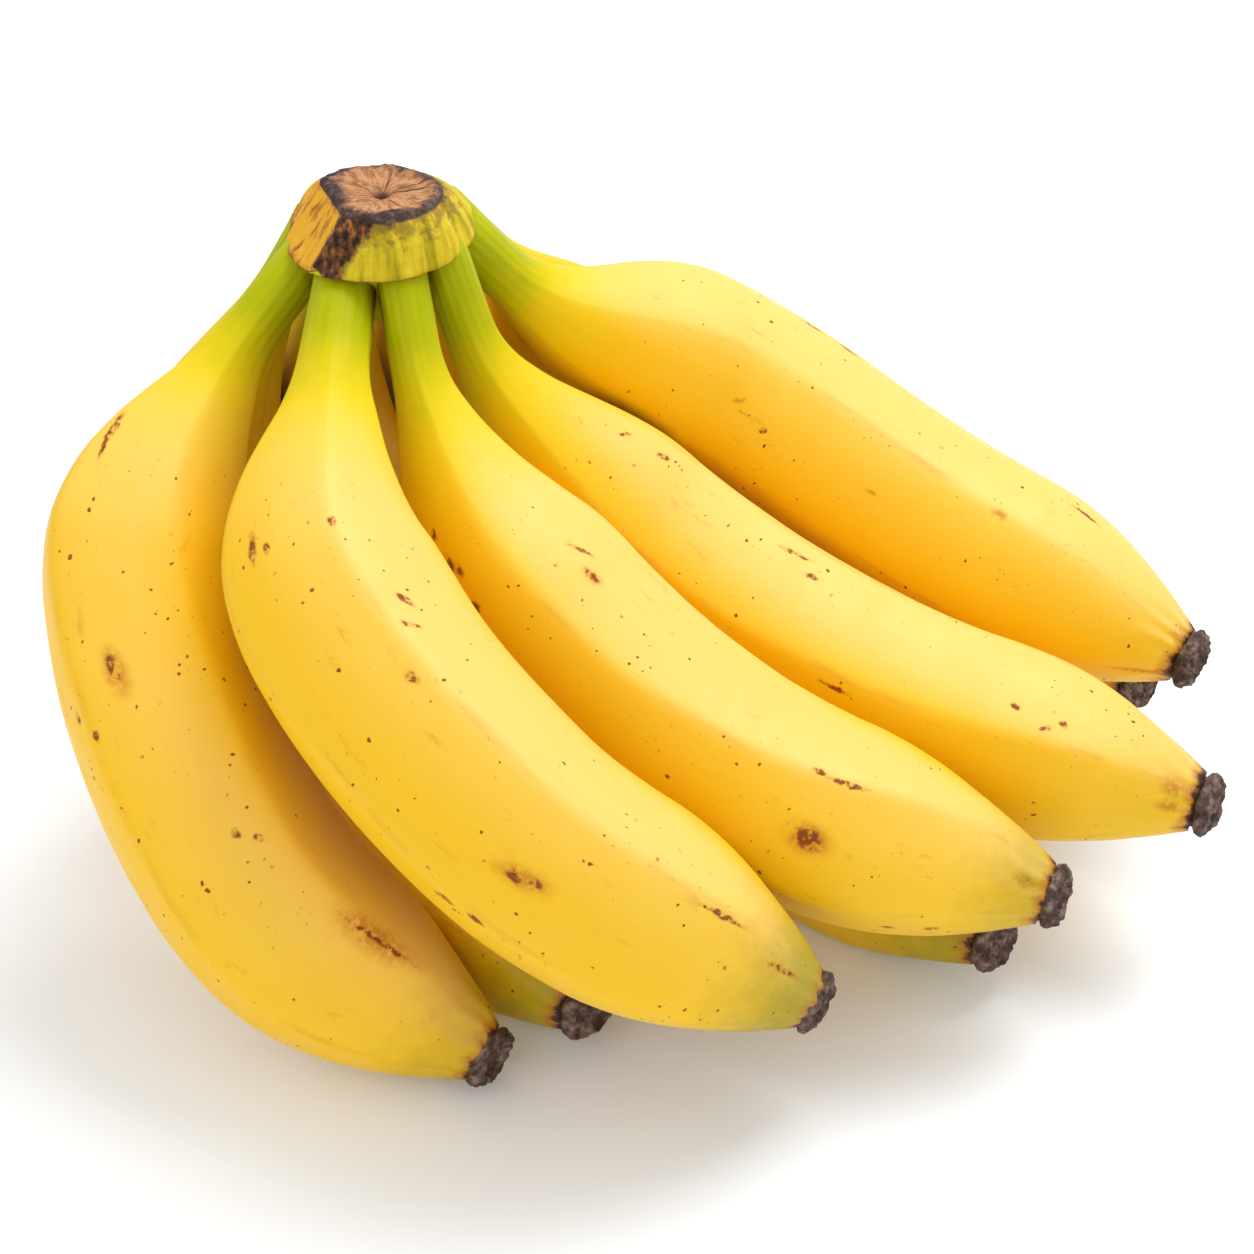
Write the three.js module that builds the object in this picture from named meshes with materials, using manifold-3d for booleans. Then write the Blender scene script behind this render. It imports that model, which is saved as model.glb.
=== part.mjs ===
// Bunch of bananas: two rows of curved fingers held by one cut crown, lying on its rounded side.
// Millimetres, +Z up, the front faces -Y. The lower row lies on z = 0 and carries the upper row.
import * as THREE from "three";
import { mergeVertices } from "three/addons/utils/BufferGeometryUtils.js";
import Module from "manifold-3d";

// Driving dimensions
const GAP = 0.3; // clear space between neighbouring pieces
const STEM_FLARE = 0.15; // share a stem gains in radius along its length
const STEM_BLEND = 8; // the widening starts this far before the stem ends
const SHOULDER_LENGTH = 42; // a stem widens into the finger over this length
const TAPER_LENGTH = 42; // the finger narrows to its flower end over this length
const END_RADIUS = 5.9; // where the finger meets its flower end
const SLIMMING = 0.1; // share of the girth lost from the fullest place to either end
const FULLEST = 0.55; // the fullest place, as a share of the length
const RIDGES = 5;
const RIDGE_HEIGHT = 0.026; // soft ridges, as a share of the girth
const RIDGE_FADE = [4, 24]; // distances from the flower end where ridges start and reach full height
const TIP_LENGTH = 4.2; // dried flower end, measured from the finger's end
const TIP_RADIUS = 5.7;
const CROWN_CENTRE = [-48, 46]; // plan position of the crown's foot
const CROWN_FOOT = 128.5; // height of the crown's underside
const CROWN_WIDTH = 36.6; // across the rim, left to right
const CROWN_DEPTH = 44; // across the rim, front to back
const CROWN_HEIGHT = 14.2;
const CROWN_TOP_WIDTH = 23.4; // across the cut top
const CROWN_LEAN = 5.5; // the cut top sits this far in front of the foot
const CORE_DEPTH = 13; // grown core under the crown, between the stems
// Knife facets of the crown: outward direction and distance from the middle of its foot
const CROWN_FACETS = [
  { outward: [-0.83, 0, 0.55], distance: 16.4 },
  { outward: [-0.76, -0.3, 0.58], distance: 15.9 },
  { outward: [-0.3, -0.83, 0.46], distance: 20.4 },
];

// Mesh density
const SEGMENTS = 20;
const RINGS = 27;
const END_CROWDING = 0.5; // share of the ring spacing that gathers at a finger's ends
const TIP_SEGMENTS = 14;
const CROWN_SEGMENTS = 30;

// Each route runs through root, neck, shoulder, belly and flower end.
// girth and stem are radii, stemLength is measured from the root, roll turns the ridges in degrees.
const FINGERS = [
  {
    name: "upper_finger_1",
    girth: 20,
    stem: 5,
    stemLength: 28,
    roll: 30,
    route: [[-61, 43, 128.5], [-76.5, 29.5, 111.5], [-92, 4, 83], [-69.5, -36.5, 35.5], [-24, -54.5, 7]],
  },
  {
    name: "upper_finger_2",
    girth: 20,
    stem: 6,
    stemLength: 28,
    roll: 49,
    route: [[-53.5, 34, 128], [-55, 11, 115], [-53.5, -20, 93.5], [-19, -52, 62], [36.5, -58.5, 25.5]],
  },
  {
    name: "upper_finger_3",
    girth: 19.5,
    stem: 4.7,
    stemLength: 28,
    roll: 2,
    route: [[-43, 32, 131.5], [-38, 19, 110.5], [-23, 4, 83], [21.5, -21, 50], [83, -37.5, 33]],
  },
  {
    name: "upper_finger_4",
    girth: 19.3,
    stem: 4.7,
    stemLength: 28,
    roll: 27,
    route: [[-35.5, 38, 132], [-27, 36, 106.5], [0, 36.5, 71], [51.5, 11.5, 46], [115.5, -15.5, 37.5]],
  },
  {
    name: "upper_finger_5",
    girth: 20.2,
    stem: 5,
    stemLength: 25,
    roll: 20,
    route: [[-33.5, 49, 131], [-17, 58.5, 109.5], [20.5, 72, 83.5], [68, 52, 58.5], [118, 21.5, 45.5]],
  },
  {
    name: "lower_finger_1",
    girth: 16.6,
    stem: 4.3,
    stemLength: 25,
    roll: 0,
    route: [[-61, 54.5, 131], [-86, 48.3, 80], [-83, 29, 33], [-54, 3, 16.2], [-6, -45, 10.5]],
  },
  {
    name: "lower_finger_2",
    girth: 16.4,
    stem: 4.2,
    stemLength: 28,
    roll: 0,
    route: [[-54, 61, 131.5], [-63.8, 66.2, 83], [-48, 58, 34], [4, 31, 16.4], [74.3, -28, 12.7]],
  },
  {
    name: "lower_finger_3",
    girth: 16,
    stem: 4.2,
    stemLength: 30,
    roll: 0,
    route: [[-45, 62.5, 132], [-43.5, 84.9, 82], [-21.2, 86.8, 35], [28, 64, 15.8], [88, 35, 16]],
  },
  {
    name: "lower_finger_4",
    girth: 16.4,
    stem: 4.3,
    stemLength: 31,
    roll: 0,
    route: [[-36.5, 60, 130.5], [-8, 102.5, 72.5], [20, 117, 33], [58, 99.5, 16.1], [116, 52, 17.5]],
  },
];

const PEEL = { color: 0xf0c020, roughness: 0.5, metalness: 0 };
const FLOWER_END = { color: 0x3d2c22, roughness: 0.9, metalness: 0 };
const CROWN = { color: 0x8f6d2e, roughness: 0.85, metalness: 0 };

const wasm = await Module();
wasm.setup();

// Closed solid of revolution about Y. The profile's [radius, height] pairs meet the axis at both ends.
function lathe(profile, segments) {
  const points = profile.map(([radius, height]) => new THREE.Vector2(radius, height));
  const geometry = new THREE.LatheGeometry(points, segments);
  geometry.deleteAttribute("normal");
  geometry.deleteAttribute("uv");
  return mergeVertices(geometry, 1e-4);
}

// Moves every vertex of a geometry through one function.
function reshape(geometry, move) {
  const place = geometry.getAttribute("position");
  const vertex = new THREE.Vector3();
  for (let i = 0; i < place.count; i++) {
    move(vertex.fromBufferAttribute(place, i));
    place.setXYZ(i, vertex.x, vertex.y, vertex.z);
  }
  return geometry;
}

function solid(geometry) {
  const vertProperties = new Float32Array(geometry.getAttribute("position").array);
  const triVerts = new Uint32Array(geometry.index.array);
  return new wasm.Manifold(new wasm.Mesh({ numProp: 3, vertProperties, triVerts }));
}

function geometryOf(manifold) {
  const { numProp, vertProperties, triVerts } = manifold.getMesh();
  const positions = new Float32Array((vertProperties.length / numProp) * 3);
  for (let i = 0; i < positions.length / 3; i++)
    positions.set(vertProperties.subarray(i * numProp, i * numProp + 3), i * 3);
  const geometry = new THREE.BufferGeometry();
  geometry.setAttribute("position", new THREE.BufferAttribute(positions, 3));
  geometry.setIndex(new THREE.BufferAttribute(new Uint32Array(triVerts), 1));
  return geometry;
}

// A finger's middle line, with a frame whose first axis points to the hollow side of the bend.
class Route {
  constructor(points) {
    const corners = points.map((p) => new THREE.Vector3(...p));
    this.curve = new THREE.CatmullRomCurve3(corners, false, "centripetal");
    this.length = this.curve.getLength();
    const ends = this.curve.getPointAt(0).add(this.curve.getPointAt(1));
    this.hollow = ends.multiplyScalar(0.5).sub(this.curve.getPointAt(0.5));
  }

  at(distance) {
    const share = THREE.MathUtils.clamp(distance / this.length, 0, 1);
    const along = this.curve.getTangentAt(share);
    const inward = this.hollow.clone().addScaledVector(along, -this.hollow.dot(along)).normalize();
    const across = new THREE.Vector3().crossVectors(inward, along);
    const overshoot = distance - share * this.length;
    const centre = this.curve.getPointAt(share).addScaledVector(along, overshoot);
    return { centre, along, inward, across };
  }

  // Bends a vertex of a straight solid standing on Y onto the route.
  bend(vertex, start) {
    const { centre, inward, across } = this.at(start + vertex.y);
    const { x, z } = vertex;
    vertex.copy(centre).addScaledVector(inward, x).addScaledVector(across, z);
  }
}

// Radius of a finger at a distance from its root.
function fingerRadius(spec, distance, length) {
  const { clamp, smoothstep } = THREE.MathUtils;
  const offset = (distance - FULLEST * length) / (0.5 * length);
  const body = spec.girth * (1 - SLIMMING * offset * offset);
  const stem = spec.stem * (1 + STEM_FLARE * clamp(distance / spec.stemLength, 0, 1));
  const shoulder = spec.stemLength + SHOULDER_LENGTH;
  const widening = smoothstep(distance, spec.stemLength - STEM_BLEND, shoulder) ** 0.85;
  const full = stem + (body - stem) * widening;
  const left = clamp((length - distance) / TAPER_LENGTH, 0, 1);
  return full + (END_RADIUS - full) * (1 - left) ** 2;
}

// Ridges run along the whole finger and fade before its flower end.
function ridgeHeight(distance, length) {
  return RIDGE_HEIGHT * THREE.MathUtils.smoothstep(length - distance, ...RIDGE_FADE);
}

// One finger from root to flower end. grow thickens it all round and past its root, for cutting its socket.
function finger(spec, grow = 0) {
  const route = new Route(spec.route);
  const length = route.length - TIP_LENGTH;
  const profile = [[0, -grow]];
  for (let ring = 0; ring <= RINGS; ring++) {
    const even = ring / RINGS;
    const crowded = 0.5 - 0.5 * Math.cos(Math.PI * even);
    const distance = length * (even + END_CROWDING * (crowded - even));
    profile.push([fingerRadius(spec, distance, length) + grow, ring ? distance : -grow]);
  }
  profile.push([0, length]);
  const turn = THREE.MathUtils.degToRad(spec.roll);
  return reshape(lathe(profile, SEGMENTS), (vertex) => {
    const angle = RIDGES * (Math.atan2(vertex.z, vertex.x) - turn);
    const ridge = Math.cos(angle) + 0.25 * Math.cos(2 * angle);
    const swell = 1 + ridgeHeight(vertex.y, length) * ridge;
    vertex.x *= swell;
    vertex.z *= swell;
    route.bend(vertex, 0);
    vertex.z = Math.max(vertex.z, 0);
  });
}

// Dried flower end: a ragged button with a hollow face.
function flowerEnd(spec, index) {
  const route = new Route(spec.route);
  const profile = [
    [0, 0],
    [0.84 * TIP_RADIUS, 0],
    [1.0 * TIP_RADIUS, 1],
    [0.98 * TIP_RADIUS, 2.4],
    [0.84 * TIP_RADIUS, 3.5],
    [0.62 * TIP_RADIUS, 3.9],
    [0.46 * TIP_RADIUS, 3.2],
    [0.2 * TIP_RADIUS, 3.4],
    [0, TIP_LENGTH - GAP],
  ];
  return reshape(lathe(profile, TIP_SEGMENTS), (vertex) => {
    const angle = Math.atan2(vertex.z, vertex.x) + index;
    const ragged = 1 + 0.05 * Math.sin(3 * angle) + 0.03 * Math.sin(5 * angle + index);
    vertex.x *= ragged;
    vertex.z *= ragged;
    route.bend(vertex, route.length - TIP_LENGTH + GAP);
  });
}

// A block that lies against a cutting plane, on its outer side.
function cutter({ outward, distance }) {
  const normal = new THREE.Vector3(...outward).normalize();
  const size = 2 * CROWN_DEPTH;
  const block = new THREE.BoxGeometry(size, size, size);
  block.deleteAttribute("normal");
  block.deleteAttribute("uv");
  block.applyQuaternion(new THREE.Quaternion().setFromUnitVectors(new THREE.Vector3(0, 0, 1), normal));
  const middle = new THREE.Vector3(...CROWN_CENTRE, CROWN_FOOT);
  middle.addScaledVector(normal, distance + size / 2);
  block.translate(middle.x, middle.y, middle.z);
  return solid(mergeVertices(block, 1e-4));
}

// Crown: a flared cap with a flat cut top and knife facets on the left.
// A core reaches down between the stems, whose sockets are cut out of it.
function crown() {
  const rim = CROWN_WIDTH / 2;
  const top = CROWN_TOP_WIDTH / 2;
  const profile = [
    [0, -CORE_DEPTH],
    [0.3 * rim, -CORE_DEPTH],
    [0.55 * rim, -0.5 * CORE_DEPTH],
    [0.7 * rim, 0],
    [0.92 * rim, 1.4],
    [rim, 3.6],
    [rim, 6],
    [0.91 * rim, 9.2],
    [0.5 * (rim + top) - 0.9, 12.4],
    [top, CROWN_HEIGHT],
    [0.6 * top, CROWN_HEIGHT - 0.3],
    [0, CROWN_HEIGHT - 1],
  ];
  const stretch = CROWN_DEPTH / CROWN_WIDTH;
  const cap = reshape(lathe(profile, CROWN_SEGMENTS), (vertex) => {
    const height = vertex.y;
    const rise = THREE.MathUtils.smoothstep(height, 4, CROWN_HEIGHT);
    const deep = THREE.MathUtils.lerp(stretch, 1, rise);
    vertex.set(vertex.z, vertex.x * deep - CROWN_LEAN * rise, height);
    vertex.x += CROWN_CENTRE[0];
    vertex.y += CROWN_CENTRE[1];
    vertex.z += CROWN_FOOT;
  });
  let body = solid(cap);
  for (const facet of CROWN_FACETS) body = body.subtract(cutter(facet));
  for (const spec of FINGERS) body = body.subtract(solid(finger(spec, GAP)));
  return geometryOf(body);
}

function piece(name, geometry, look) {
  const mesh = new THREE.Mesh(geometry, new THREE.MeshStandardMaterial(look));
  mesh.name = name;
  return mesh;
}

const bunch = new THREE.Group();
bunch.name = "bunch_of_bananas";
bunch.add(piece("crown", crown(), CROWN));
FINGERS.forEach((spec, index) => {
  bunch.add(piece(spec.name, finger(spec), PEEL));
  bunch.add(piece(`${spec.name}_tip`, flowerEnd(spec, index), FLOWER_END));
});

// The origin sits under the middle of the bunch, on the surface it lies on.
const box = new THREE.Box3().setFromObject(bunch);
const middle = box.getCenter(new THREE.Vector3());
for (const mesh of bunch.children) mesh.geometry.translate(-middle.x, -middle.y, -box.min.z);

export default bunch;
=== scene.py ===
"""Looks of a bunch of ripe bananas: two rows of ridged fingers on one cut crown, on a pale studio floor.

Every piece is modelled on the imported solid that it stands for, in metres and in the same frame.
"""

import logging
import math
from collections import deque
from dataclasses import dataclass, field
from enum import Enum

import bmesh
import bpy
import numpy as np
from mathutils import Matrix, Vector, noise
from mathutils.bvhtree import BVHTree


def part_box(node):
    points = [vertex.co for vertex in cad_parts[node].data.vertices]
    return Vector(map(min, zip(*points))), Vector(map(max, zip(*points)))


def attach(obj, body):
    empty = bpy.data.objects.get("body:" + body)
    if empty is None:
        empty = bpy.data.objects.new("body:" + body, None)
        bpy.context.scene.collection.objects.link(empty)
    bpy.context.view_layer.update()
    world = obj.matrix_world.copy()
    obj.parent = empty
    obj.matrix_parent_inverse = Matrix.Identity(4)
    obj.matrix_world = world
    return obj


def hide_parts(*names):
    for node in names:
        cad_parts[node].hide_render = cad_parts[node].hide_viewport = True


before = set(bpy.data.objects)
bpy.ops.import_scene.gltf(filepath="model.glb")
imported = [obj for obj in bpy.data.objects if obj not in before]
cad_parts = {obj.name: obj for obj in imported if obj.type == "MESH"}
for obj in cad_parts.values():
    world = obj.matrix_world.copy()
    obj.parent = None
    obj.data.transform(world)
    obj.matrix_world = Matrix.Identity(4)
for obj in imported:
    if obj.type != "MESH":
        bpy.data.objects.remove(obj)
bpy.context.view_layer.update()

MM = 0.001
BODY = "root"
Colour = tuple[float, float, float, float]
Socket = bpy.types.NodeSocket
log = logging.getLogger("bananas")


def tone(red: int, green: int, blue: int) -> Colour:
    """Turns a screen colour into the linear colour that shaders take.

    Args:
        red: Red from 0 to 255.
        green: Green from 0 to 255.
        blue: Blue from 0 to 255.

    Returns:
        The linear colour with full alpha.
    """
    channels = [channel / 255 for channel in (red, green, blue)]
    linear = [c / 12.92 if c <= 0.04045 else ((c + 0.055) / 1.055) ** 2.4 for c in channels]
    return (linear[0], linear[1], linear[2], 1.0)


def smoothstep(values: np.ndarray, low: float, high: float) -> np.ndarray:
    """Eases values from 0 at low to 1 at high."""
    share = np.clip((values - low) / (high - low), 0, 1)
    return share * share * (3 - 2 * share)


def lumps(points: np.ndarray, size: float, seed: float) -> np.ndarray:
    """Samples soft noise between about -1 and 1.

    Args:
        points: Rows of coordinates.
        size: Width of one lump, in the unit of the points.
        seed: Offset that makes one noise differ from another.

    Returns:
        One value for each row.
    """
    offset = Vector((seed, 2.3 * seed, -1.7 * seed))
    return np.array([noise.noise(Vector(point) / size + offset) for point in points])


class Recipe:
    """One material's node tree, with short calls for the nodes that the finishes share."""

    def __init__(self, name: str) -> None:
        """Starts an empty node material of that name."""
        self.material = bpy.data.materials.new(name)
        self.material.use_nodes = True
        self.tree = self.material.node_tree
        self.tree.nodes.clear()

    def feed(self, socket: Socket, value: object) -> None:
        """Links a socket to another one, or sets its value."""
        if isinstance(value, Socket):
            self.tree.links.new(value, socket)
        else:
            socket.default_value = value

    def node(self, kind: str, inputs: dict, **settings: object) -> bpy.types.Node:
        """Adds a node.

        Args:
            kind: Blender's type name of the node.
            inputs: Socket name or number to a value or another node's socket.
            settings: Properties of the node itself.

        Returns:
            The new node.
        """
        made = self.tree.nodes.new(kind)
        for name, value in settings.items():
            setattr(made, name, value)
        for name, value in inputs.items():
            self.feed(made.inputs[name], value)
        return made

    def attribute(self, name: str, output: str = "Vector") -> Socket:
        """Reads one of the piece's own attributes."""
        return self.node("ShaderNodeAttribute", {}, attribute_name=name).outputs[output]

    def math(self, operation: str, first: object, second: object = 0.0) -> Socket:
        """Joins two numbers by an operation."""
        made = self.node("ShaderNodeMath", {0: first, 1: second}, operation=operation)
        return made.outputs[0]

    def product(self, *values: object) -> Socket:
        """Multiplies two or more numbers."""
        result = values[0]
        for value in values[1:]:
            result = self.math("MULTIPLY", result, value)
        return result

    def largest(self, *values: object) -> Socket:
        """Keeps the largest of two or more numbers."""
        result = values[0]
        for value in values[1:]:
            result = self.math("MAXIMUM", result, value)
        return result

    def stretched(self, place: object, factors: tuple[float, float, float]) -> Socket:
        """Scales a place along its axes, to stretch the pattern that reads it."""
        made = self.node("ShaderNodeVectorMath", {0: place, 1: factors}, operation="MULTIPLY")
        return made.outputs[0]

    def grain(self, place: object, size: float, detail: float = 2.0, rough: float = 0.5) -> Socket:
        """Noise between 0 and 1.

        Args:
            place: Where to read the noise.
            size: Width of one lump, in the place's unit.
            detail: Octaves of finer noise.
            rough: Share that each finer octave keeps.

        Returns:
            The noise value.
        """
        inputs = {"Vector": place, "Scale": 1 / size, "Detail": detail, "Roughness": rough}
        return self.node("ShaderNodeTexNoise", inputs).outputs["Fac"]

    def shaken(self, place: object, size: float, reach: float) -> Socket:
        """Moves a place by noise, so that outlines read from it turn ragged."""
        inputs = {"Vector": place, "Scale": 1 / size, "Detail": 3.0}
        colour = self.node("ShaderNodeTexNoise", inputs).outputs["Color"]
        centred = self.node("ShaderNodeVectorMath", {0: colour, 1: (0.5, 0.5, 0.5)}, operation="SUBTRACT")
        offset = {0: centred.outputs[0], "Scale": reach}
        scaled = self.node("ShaderNodeVectorMath", offset, operation="SCALE").outputs[0]
        return self.node("ShaderNodeVectorMath", {0: place, 1: scaled}, operation="ADD").outputs[0]

    def span(self, value: object, low: float, high: float, start: float = 0.0, end: float = 1.0) -> Socket:
        """Eases a value between two limits.

        Args:
            value: The number to map.
            low: Where the result is start.
            high: Where the result is end.
            start: Result at and below low.
            end: Result at and above high.

        Returns:
            The mapped number.
        """
        inputs = {"Value": value, "From Min": low, "From Max": high, "To Min": start, "To Max": end}
        return self.node("ShaderNodeMapRange", inputs, interpolation_type="SMOOTHSTEP").outputs["Result"]

    def mix(self, share: object, under: object, over: object) -> Socket:
        """Lays one colour over another."""
        made = self.node("ShaderNodeMix", {}, data_type="RGBA")
        self.feed(made.inputs[0], share)
        self.feed(made.inputs[6], under)
        self.feed(made.inputs[7], over)
        return made.outputs[2]

    def ramp(self, value: object, stops: list[tuple[float, Colour]]) -> Socket:
        """Maps a number to colours between stops."""
        made = self.node("ShaderNodeValToRGB", {"Fac": value})
        elements = made.color_ramp.elements
        while len(elements) < len(stops):
            elements.new(0.5)
        for element, (position, colour) in zip(elements, stops):
            element.position = position
            element.color = colour
        return made.outputs["Color"]

    def split(self, place: object) -> bpy.types.bpy_prop_collection:
        """Splits a place into its three numbers."""
        return self.node("ShaderNodeSeparateXYZ", {0: place}).outputs

    def dots(self, place: object, size: float, share: float, radius: tuple[float, float]) -> Socket:
        """Scattered round dots.

        Args:
            place: Where to read the pattern.
            size: Distance between places that may hold a dot.
            share: Share of those places that hold one.
            radius: Smallest and largest radius, as shares of size.

        Returns:
            1 inside a dot and 0 outside.
        """
        cells = self.node("ShaderNodeTexVoronoi", {"Vector": place, "Scale": 1 / size})
        draw = self.split(cells.outputs["Color"])
        kept = self.math("LESS_THAN", draw[0], share)
        reach = self.node("ShaderNodeMapRange", {"Value": draw[1], "To Min": radius[0], "To Max": radius[1]})
        inside = self.math("DIVIDE", cells.outputs["Distance"], reach.outputs["Result"])
        return self.product(kept, self.span(inside, 0.55, 1.0, 1.0, 0.0))

    def bumped(self, height: object, depth: float, strength: float = 1.0) -> Socket:
        """Turns a height into a bent normal."""
        inputs = {"Height": height, "Distance": depth, "Strength": strength}
        return self.node("ShaderNodeBump", inputs).outputs["Normal"]

    def finish(self, inputs: dict) -> bpy.types.Material:
        """Ends the tree in one surface shader.

        Args:
            inputs: The surface shader's sockets by name.

        Returns:
            The finished material.
        """
        surface = self.node("ShaderNodeBsdfPrincipled", inputs)
        output = self.node("ShaderNodeOutputMaterial", {})
        self.tree.links.new(surface.outputs["BSDF"], output.inputs["Surface"])
        return self.material


class MarkKind(Enum):
    """Kinds of blemish on a peel."""

    SPOT = "spot"
    RUB = "rub"


@dataclass(frozen=True)
class Mark:
    """One blemish, placed on its finger in millimetres and degrees.

    along is measured from the root and around from the finger's hollow side. turn swings a long
    mark away from the finger's direction.
    """

    along: float
    around: float
    length: float
    width: float
    turn: float = 0.0
    kind: MarkKind = MarkKind.SPOT

    def axes(self, radius: float) -> tuple[Vector, Vector, Vector, Vector]:
        """Places the mark on a straightened finger of that radius.

        Args:
            radius: The finger's radius there, in millimetres.

        Returns:
            The mark's middle, and three directions scaled so that its edge is at 1.
        """
        around = math.radians(self.around)
        turn = math.radians(self.turn)
        outward = Vector((math.cos(around), math.sin(around), 0))
        sideways = Vector((-math.sin(around), math.cos(around), 0))
        upward = Vector((0, 0, 1))
        lengthwise = math.cos(turn) * upward + math.sin(turn) * sideways
        crosswise = math.cos(turn) * sideways - math.sin(turn) * upward
        middle = radius * outward + self.along * upward
        return middle, 2 * lengthwise / self.length, 2 * crosswise / self.width, outward / radius


class Spine:
    """Middle line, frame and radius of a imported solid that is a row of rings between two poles."""

    def __init__(self, node: str) -> None:
        """Reads the rings of a node's mesh, from the pole nearer the crown."""
        shape = bmesh.new()
        shape.from_mesh(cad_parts[node].data)
        bmesh.ops.remove_doubles(shape, verts=shape.verts, dist=1e-6)
        rings = self._rings(shape)
        self.centres = np.array([ring.mean(axis=0) for ring in rings])
        spread = [np.linalg.norm(ring - ring.mean(axis=0), axis=1).mean() for ring in rings]
        self.radii = np.array(spread)
        shape.free()
        steps = np.linalg.norm(np.diff(self.centres, axis=0), axis=1)
        self.along = np.concatenate([[0], np.cumsum(steps)])
        self.length = float(self.along[-1])
        ends = 0.5 * (self.centres[0] + self.centres[-1])
        self.hollow = ends - self._smooth(np.array([0.5 * self.length]), self.centres)[0]

    @staticmethod
    def _rings(shape: bmesh.types.BMesh) -> list[np.ndarray]:
        """Sorts the vertices into rings by their distance in edges from one pole.

        Args:
            shape: The merged mesh.

        Returns:
            The rings' coordinates in order, poles left out.
        """
        poles = sorted(shape.verts, key=lambda vert: len(vert.link_edges))[-2:]
        crown = Vector(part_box("crown")[0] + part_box("crown")[1]) / 2
        start = min(poles, key=lambda vert: (vert.co - crown).length)
        order = {start: 0}
        queue = deque([start])
        while queue:
            vert = queue.popleft()
            for edge in vert.link_edges:
                other = edge.other_vert(vert)
                if other not in order:
                    order[other] = order[vert] + 1
                    queue.append(other)
        last = max(order.values())
        groups: list[list[Vector]] = [[] for _ in range(last + 1)]
        for vert, index in order.items():
            groups[index].append(vert.co)
        return [np.array(group) for group in groups[1:last]]

    def _smooth(self, along: np.ndarray, values: np.ndarray) -> np.ndarray:
        """Reads ring values at any distance by a smooth curve through them.

        Args:
            along: Distances from the first ring.
            values: One value or row for each ring.

        Returns:
            One value or row for each distance.
        """
        slopes = np.gradient(values, self.along, axis=0)
        index = np.clip(np.searchsorted(self.along, along) - 1, 0, len(self.along) - 2)
        width = self.along[index + 1] - self.along[index]
        share = np.clip((along - self.along[index]) / width, 0, 1)
        if values.ndim == 2:
            share, width = share[:, None], width[:, None]
        rise = share * share * (3 - 2 * share)
        first = share * (1 - share) ** 2 * width
        second = share * share * (share - 1) * width
        curve = values[index] * (1 - rise) + values[index + 1] * rise
        return curve + first * slopes[index] + second * slopes[index + 1]

    def radius(self, along: np.ndarray) -> np.ndarray:
        """Radius at these distances."""
        return self._smooth(along, self.radii)

    def bend(self, straight: np.ndarray) -> np.ndarray:
        """Bends a straightened shape, standing on Z, onto the middle line.

        Args:
            straight: Rows of coordinates, x to the hollow side.

        Returns:
            Rows of coordinates in the part's frame.
        """
        along = straight[:, 2]
        centre = self._smooth(along, self.centres)
        tangent = self._smooth(along, np.gradient(self.centres, self.along, axis=0))
        tangent /= np.linalg.norm(tangent, axis=1)[:, None]
        inward = self.hollow - (tangent @ self.hollow)[:, None] * tangent
        inward /= np.linalg.norm(inward, axis=1)[:, None]
        across = np.cross(inward, tangent)
        return centre + inward * straight[:, :1] + across * straight[:, 1:2]


def spun(profile: list[tuple[float, float]], steps: int) -> bmesh.types.BMesh:
    """Spins a profile about Z into a closed solid.

    Args:
        profile: Radius and height from one pole to the other.
        steps: Number of segments round the axis.

    Returns:
        The solid, with its poles merged and its faces outwards.
    """
    shape = bmesh.new()
    verts = [shape.verts.new((radius, 0, height)) for radius, height in profile]
    edges = [shape.edges.new(pair) for pair in zip(verts, verts[1:])]
    bmesh.ops.spin(
        shape, geom=verts + edges, cent=(0, 0, 0), axis=(0, 0, 1),
        angle=math.tau, steps=steps, use_merge=True,
    )
    bmesh.ops.remove_doubles(shape, verts=shape.verts, dist=1e-7)
    bmesh.ops.recalc_face_normals(shape, faces=shape.faces)
    return shape


def placed(shape: bmesh.types.BMesh, name: str) -> bpy.types.Object:
    """Makes a smooth object of a shape and frees the shape.

    Args:
        shape: The finished shape.
        name: The object's name.

    Returns:
        The new object, at the origin.
    """
    mesh = bpy.data.meshes.new(name)
    shape.to_mesh(mesh)
    shape.free()
    mesh.polygons.foreach_set("use_smooth", [True] * len(mesh.polygons))
    piece = bpy.data.objects.new(name, mesh)
    bpy.context.scene.collection.objects.link(piece)
    return piece


def places(mesh: bpy.types.Mesh) -> np.ndarray:
    """Reads a mesh's vertex coordinates as rows."""
    flat = np.zeros(3 * len(mesh.vertices))
    mesh.vertices.foreach_get("co", flat)
    return flat.reshape(-1, 3)


def move_to(mesh: bpy.types.Mesh, points: np.ndarray) -> None:
    """Moves a mesh's vertices to these rows of coordinates."""
    mesh.vertices.foreach_set("co", points.ravel())
    mesh.update()


def keep(mesh: bpy.types.Mesh, name: str, values: np.ndarray) -> None:
    """Stores one number or vector per vertex for the material to read."""
    kind, slot = ("FLOAT_VECTOR", "vector") if values.ndim == 2 else ("FLOAT", "value")
    mesh.attributes.new(name, kind, "POINT").data.foreach_set(slot, values.ravel())


def join_bunch(piece: bpy.types.Object, node: str) -> None:
    """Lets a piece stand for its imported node."""
    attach(piece, BODY)
    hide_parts(node)
    log.info("%s: %d faces", piece.name, len(piece.data.polygons))


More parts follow.
